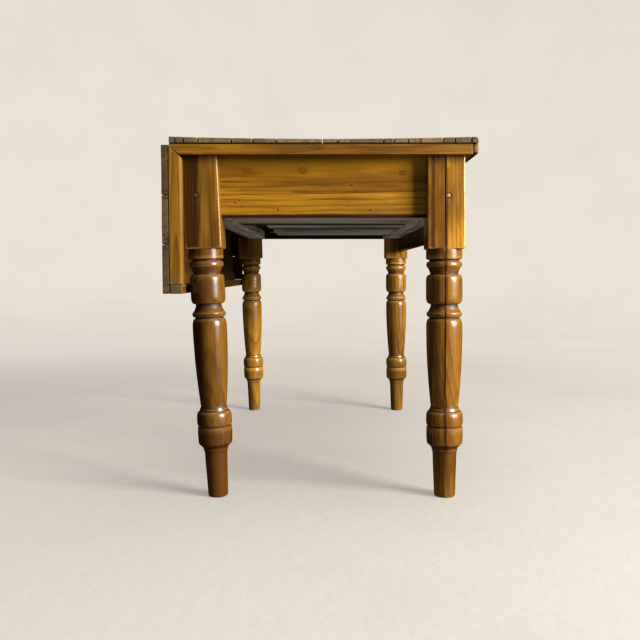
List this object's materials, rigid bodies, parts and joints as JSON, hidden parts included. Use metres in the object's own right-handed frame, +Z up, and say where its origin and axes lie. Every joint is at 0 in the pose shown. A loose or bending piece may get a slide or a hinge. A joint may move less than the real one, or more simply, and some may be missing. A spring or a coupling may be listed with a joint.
{
  "type": "drop leaf table",
  "caption": "Old pine drop leaf table on turned legs, with a boarded top, a hinged side leaf that hangs down, swinging brackets behind it, and a drawer in one end.",
  "frame": {"origin": "on the floor, under the middle of the table's box with the leaf hanging", "axes": "+Z up, +Y along the top towards the drawer end, +X away from the leaf"},
  "size_m": [0.639, 1.167, 0.748],
  "materials": {
    "top_wood": "scrubbed and waxed pine, grey in the grain",
    "leaf_wood": "waxed pine, grey and worn at the edges",
    "edge_wood": "waxed pine",
    "leg_wood": "varnished pine, dark in the turned grooves",
    "apron_wood": "varnished pine, amber",
    "dusty_wood": "bare boards, grey and dusty",
    "raw_wood": "bare pine, dulled with age",
    "peg_wood": "end grain of the draw pegs",
    "hinge_iron": "old black iron, rubbed at the edges"
  },
  "bodies": {
    "table": {"top_plank_1": "top_wood", "top_plank_2": "top_wood", "top_plank_3": "top_wood", "top_plank_4": "top_wood", "top_plank_5": "top_wood", "top_plank_6": "top_wood", "top_edge_near": "edge_wood", "top_edge_far": "edge_wood", "top_edge_right": "edge_wood", "leg_near_left": "leg_wood", "leg_near_right": "leg_wood", "leg_far_left": "leg_wood", "leg_far_right": "leg_wood", "apron_near": "apron_wood", "rail_left": "apron_wood", "rail_right": "apron_wood", "drawer_rail_top": "apron_wood", "drawer_rail_bottom": "apron_wood", "runner_left": "dusty_wood", "runner_right": "dusty_wood", "dust_board_1": "dusty_wood", "dust_board_2": "dusty_wood", "dust_board_3": "dusty_wood", "batten_left": "dusty_wood", "batten_right": "dusty_wood", "fly_rail": "raw_wood", "fly_bracket_near": "raw_wood", "fly_bracket_far": "raw_wood", "top_block_near": "raw_wood", "top_block_left": "raw_wood", "top_block_right": "raw_wood", "peg_near_left": "peg_wood", "peg_near_right": "peg_wood", "peg_far_left": "peg_wood", "peg_far_right": "peg_wood", "hinge_near_top_plate": "hinge_iron", "hinge_near_pin": "hinge_iron", "hinge_middle_top_plate": "hinge_iron", "hinge_middle_pin": "hinge_iron", "hinge_far_top_plate": "hinge_iron", "hinge_far_pin": "hinge_iron", "fly_pin_near": "hinge_iron", "fly_pin_far": "hinge_iron"},
    "leaf": {"leaf_plank_1": "leaf_wood", "leaf_plank_2": "leaf_wood", "leaf_plank_3": "leaf_wood", "leaf_edge_near": "edge_wood", "leaf_edge_far": "edge_wood", "leaf_edge_outer": "edge_wood", "hinge_near_leaf_plate": "hinge_iron", "hinge_middle_leaf_plate": "hinge_iron", "hinge_far_leaf_plate": "hinge_iron"},
    "drawer": {"drawer_front": "apron_wood", "drawer_knob": "leg_wood", "drawer_side_left": "raw_wood", "drawer_side_right": "raw_wood", "drawer_back": "raw_wood", "drawer_bottom_1": "raw_wood", "drawer_bottom_2": "raw_wood"}
  },
  "joints": [
    {"name": "leaf_hinge", "type": "hinge", "parent": "table", "child": "leaf", "pos_m": [-0.3045, 0, 0.7325], "axis": [0, 1, 0], "range_deg": [0, 90]},
    {"name": "drawer_slide", "type": "slide", "parent": "table", "child": "drawer", "axis": [0, 1, 0], "range_m": [0, 0.3]}
  ]
}
